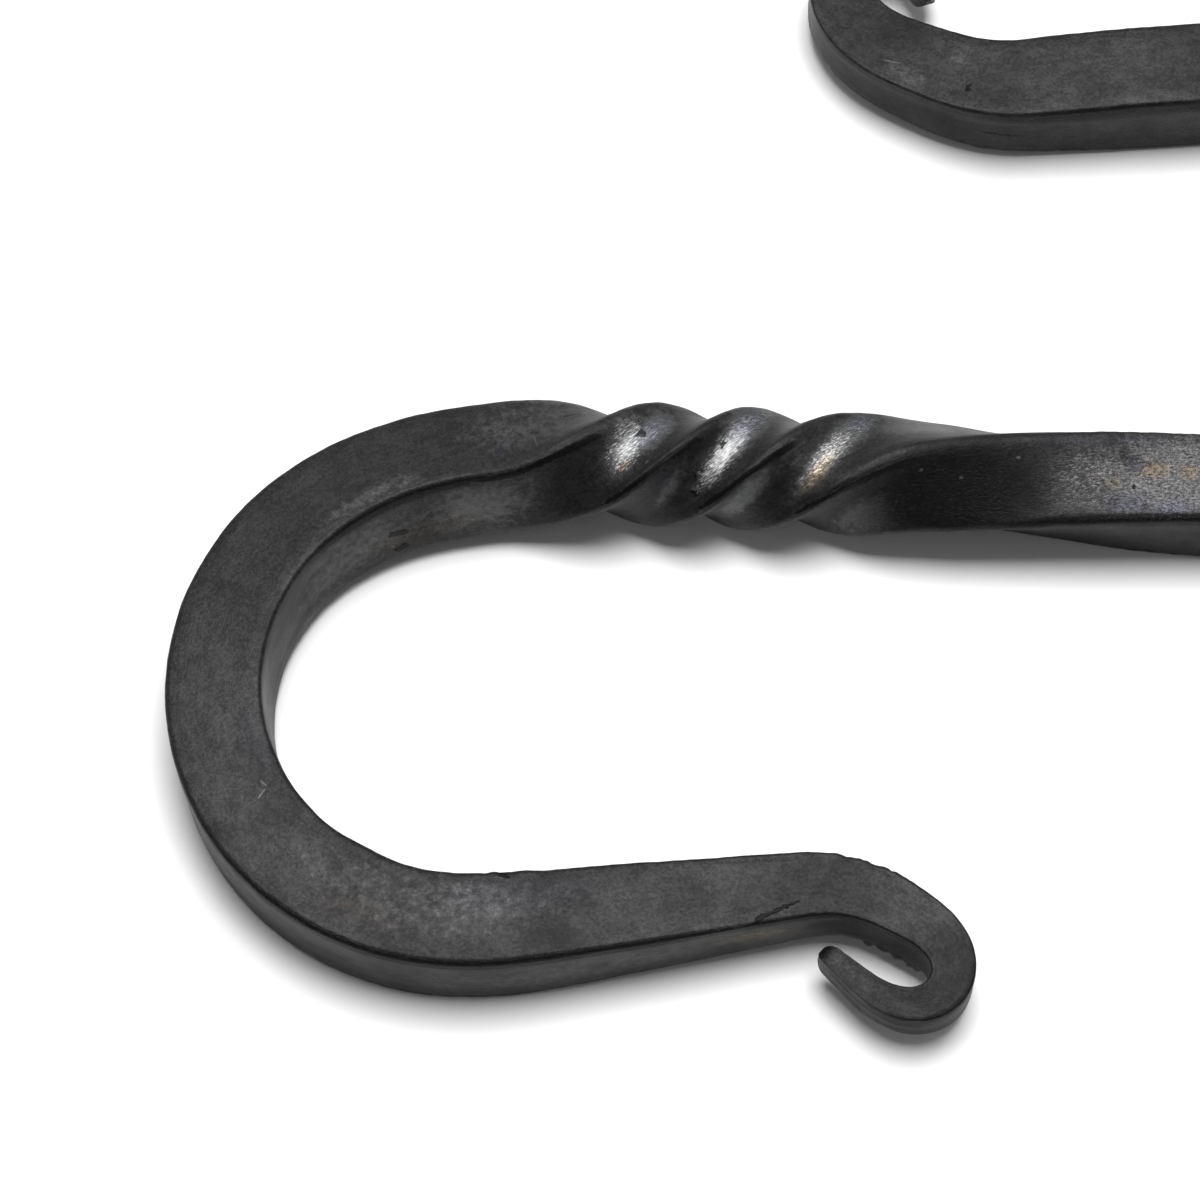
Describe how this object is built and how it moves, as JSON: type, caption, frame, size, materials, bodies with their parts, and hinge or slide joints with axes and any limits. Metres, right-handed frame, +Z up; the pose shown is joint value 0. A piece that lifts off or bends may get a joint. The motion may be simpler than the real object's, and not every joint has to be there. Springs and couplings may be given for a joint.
{
  "type": "s hook",
  "caption": "Flat-lying S hook forged from square bar, with a left-hand twist in the shank and a small outward scroll at each drawn-out end.",
  "frame": {"origin": "on the resting surface, under the middle of the hook's footprint; the middle of the straight shank is 0.5 mm in +X and 2.7 mm in -Y from it", "axes": "+X along the shank, +Y across it in the plane of the S, +Z up out of the plane of the S; the hook lies flat"},
  "size_m": [0.1284, 0.1058, 0.0112],
  "materials": {
    "blackened_steel": "hot-forged mild steel with a waxed black scale, matte, burnished bright on the proud faces of the twist"
  },
  "bodies": {
    "root": {"s_hook": "blackened_steel"}
  },
  "joints": []
}
